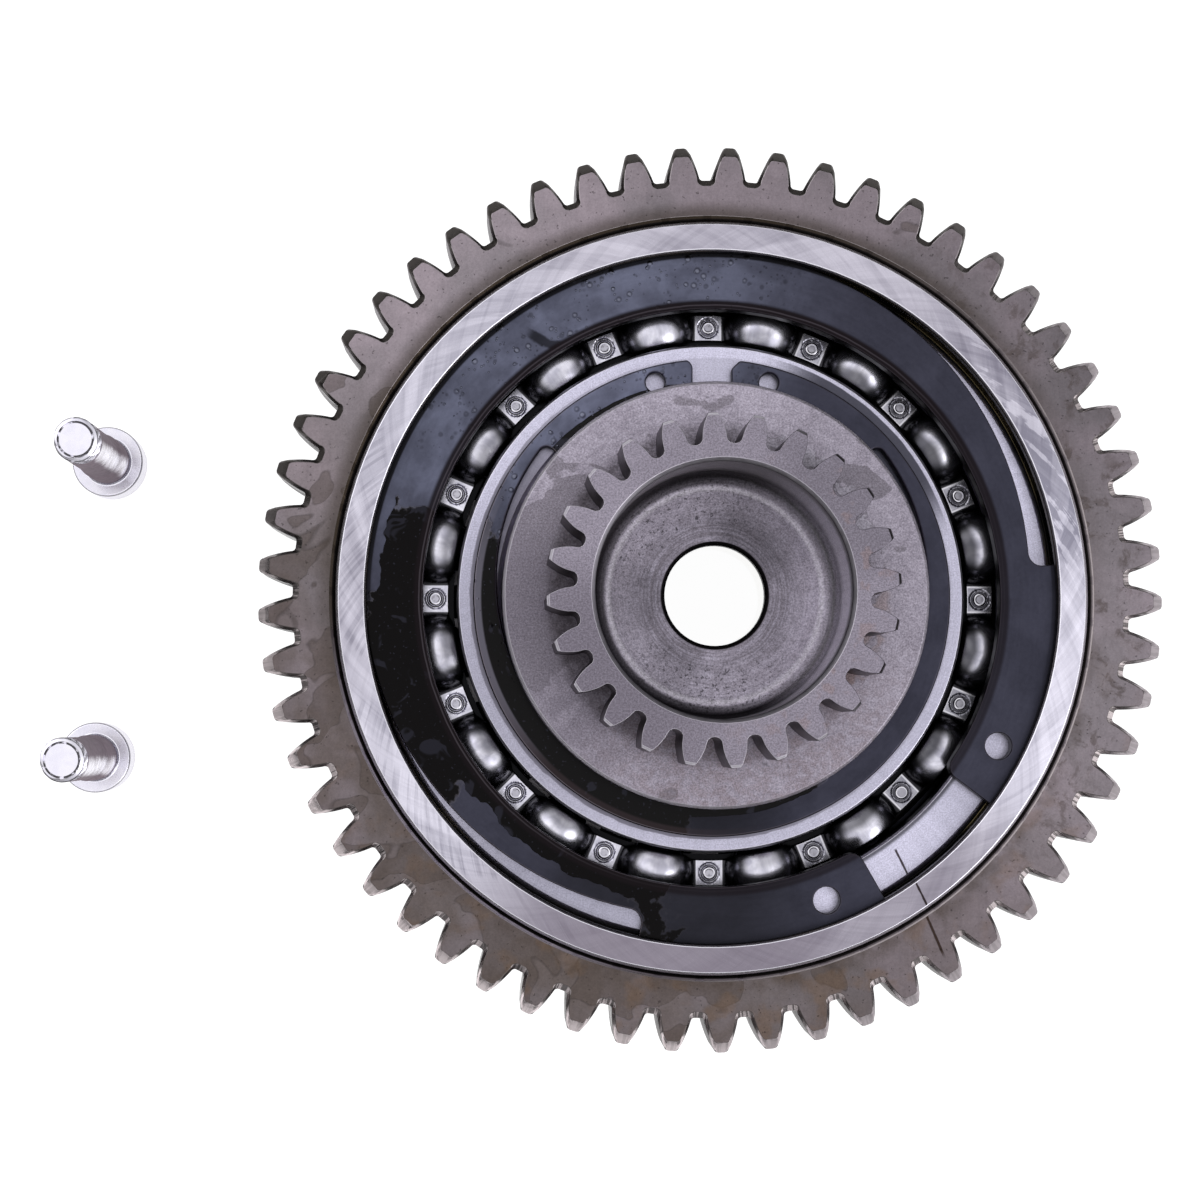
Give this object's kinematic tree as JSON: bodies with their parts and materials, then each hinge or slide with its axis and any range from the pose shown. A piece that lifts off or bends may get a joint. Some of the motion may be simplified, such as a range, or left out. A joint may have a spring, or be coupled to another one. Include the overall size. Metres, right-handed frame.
{
  "type": "one-way clutch gear",
  "caption": "Supercharger clutch: toothed ring gear on a ball-bearing outer race, with a one-way sprag clutch inside and a hub that carries a stepped pinion, plus its loose cap screws.",
  "frame": {"origin": "on the hub's axis, at the foot face of the hub", "axes": "+Z along the hub's axis from the foot towards the pinion; +X to the right and +Y up in the picture, the loose screws stand on the -X side"},
  "size_m": [0.1492, 0.118, 0.0612],
  "materials": {
    "hub_steel": "phosphated and worn, satin",
    "gear_steel": "phosphated, matte with brown stains",
    "ground_steel": "ground bright",
    "bearing_steel": "fine ground",
    "ball_steel": "polished",
    "cage_steel": "bright pressed sheet",
    "spring_steel": "blued and oiled",
    "sprag_steel": "hardened and ground",
    "screw_zinc": "bright zinc"
  },
  "bodies": {
    "hub": {"pinion_hub": "hub_steel", "upper_inner_ring": "bearing_steel", "lower_inner_ring": "bearing_steel", "upper_shaft_retaining_ring": "spring_steel", "lower_shaft_retaining_ring": "spring_steel"},
    "gear": {"ring_gear": "gear_steel", "outer_race": "ground_steel", "upper_outer_ring": "bearing_steel", "lower_outer_ring": "bearing_steel", "upper_bore_retaining_ring": "spring_steel", "lower_bore_retaining_ring": "spring_steel", "sprags": "sprag_steel", "sprag_outer_cage": "sprag_steel", "sprag_inner_cage": "sprag_steel", "sprag_ribbon_spring": "sprag_steel"},
    "upper_cage": {"upper_balls": "ball_steel", "upper_cage_top_half": "cage_steel", "upper_cage_bottom_half": "cage_steel", "upper_cage_rivets": "cage_steel"},
    "lower_cage": {"lower_balls": "ball_steel", "lower_cage_top_half": "cage_steel", "lower_cage_bottom_half": "cage_steel", "lower_cage_rivets": "cage_steel"},
    "screw_1": {"screw_1": "screw_zinc"},
    "screw_2": {"screw_2": "screw_zinc"}
  },
  "joints": [
    {"name": "gear_spin", "type": "hinge", "parent": "hub", "child": "gear", "pos_m": [0, 0, 0.0386], "axis": [0, 0, 1], "continuous": true},
    {"name": "upper_cage_spin", "type": "hinge", "parent": "hub", "child": "upper_cage", "pos_m": [0, 0, 0.0352], "axis": [0, 0, 1], "continuous": true},
    {"name": "lower_cage_spin", "type": "hinge", "parent": "hub", "child": "lower_cage", "pos_m": [0, 0, 0.0107], "axis": [0, 0, 1], "continuous": true},
    {"name": "screw_1_lift", "type": "slide", "parent": "hub", "child": "screw_1", "axis": [0, 0, 1], "range_m": [0, 0.05]},
    {"name": "screw_2_lift", "type": "slide", "parent": "hub", "child": "screw_2", "axis": [0, 0, 1], "range_m": [0, 0.05]}
  ],
  "couplings": [
    {"joint": "upper_cage_spin", "follows": "gear_spin", "ratio": 0.5547},
    {"joint": "lower_cage_spin", "follows": "gear_spin", "ratio": 0.5547}
  ]
}
